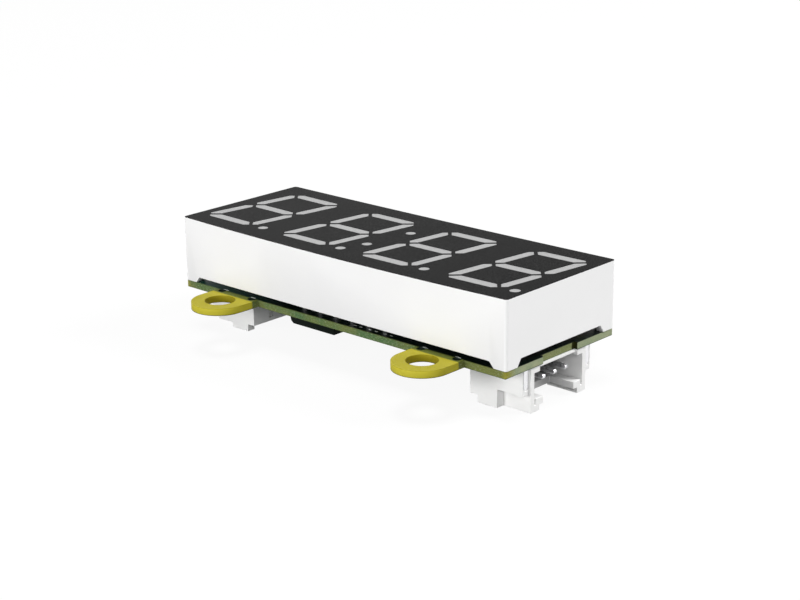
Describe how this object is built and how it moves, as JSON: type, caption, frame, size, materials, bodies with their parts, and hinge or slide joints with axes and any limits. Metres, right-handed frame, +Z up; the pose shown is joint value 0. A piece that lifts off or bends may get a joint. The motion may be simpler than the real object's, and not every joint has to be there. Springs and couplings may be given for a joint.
{
  "type": "seven-segment display module",
  "caption": "Slanted seven-segment LED clock display in a white case, on a green driver board with mounting ears and a side-entry socket at each end.",
  "frame": {"origin": "centre of the footprint, on the surface that the two sockets stand on", "axes": "+X along the digits from first to last, +Y towards the tops of the digits, +Z up through the lit face"},
  "size_m": [0.0502, 0.0316, 0.0141],
  "materials": {
    "case_white": "satin white moulding",
    "face_black": "fine matt black layer",
    "segment_resin": "cloudy pale resin, unlit",
    "led_die": "bare die",
    "inner_board": "laminate",
    "potting_resin": "cast resin",
    "board_laminate": "green mask over yellow glass laminate",
    "socket_white": "satin white nylon",
    "tinned_metal": "tin plate",
    "solder": "bright solder",
    "chip_black": "fine moulding compound",
    "capacitor_ceramic": "fired ceramic",
    "resistor_black": "glazed film"
  },
  "bodies": {
    "root": {"display_case": "case_white", "face_mask": "face_black", "digit_1_segment_a": "segment_resin", "digit_1_segment_b": "segment_resin", "digit_1_segment_c": "segment_resin", "digit_1_segment_d": "segment_resin", "digit_1_segment_e": "segment_resin", "digit_1_segment_f": "segment_resin", "digit_1_segment_g": "segment_resin", "digit_2_segment_a": "segment_resin", "digit_2_segment_b": "segment_resin", "digit_2_segment_c": "segment_resin", "digit_2_segment_d": "segment_resin", "digit_2_segment_e": "segment_resin", "digit_2_segment_f": "segment_resin", "digit_2_segment_g": "segment_resin", "digit_3_segment_a": "segment_resin", "digit_3_segment_b": "segment_resin", "digit_3_segment_c": "segment_resin", "digit_3_segment_d": "segment_resin", "digit_3_segment_e": "segment_resin", "digit_3_segment_f": "segment_resin", "digit_3_segment_g": "segment_resin", "digit_4_segment_a": "segment_resin", "digit_4_segment_b": "segment_resin", "digit_4_segment_c": "segment_resin", "digit_4_segment_d": "segment_resin", "digit_4_segment_e": "segment_resin", "digit_4_segment_f": "segment_resin", "digit_4_segment_g": "segment_resin", "digit_1_point": "segment_resin", "digit_2_point": "segment_resin", "digit_3_point": "segment_resin", "digit_4_point": "segment_resin", "colon_upper": "segment_resin", "colon_lower": "segment_resin", "led_dies": "led_die", "led_substrate": "inner_board", "potting_resin": "potting_resin", "display_pins": "tinned_metal", "pin_solder_joints": "solder", "carrier_board": "board_laminate", "right_socket_shell": "socket_white", "right_socket_contacts": "tinned_metal", "right_socket_solder_tabs": "tinned_metal", "left_socket_shell": "socket_white", "left_socket_contacts": "tinned_metal", "left_socket_solder_tabs": "tinned_metal", "driver_chip_body": "chip_black", "driver_chip_leads": "tinned_metal", "chip_capacitors": "capacitor_ceramic", "chip_resistors": "resistor_black", "component_terminals": "solder"}
  },
  "joints": []
}
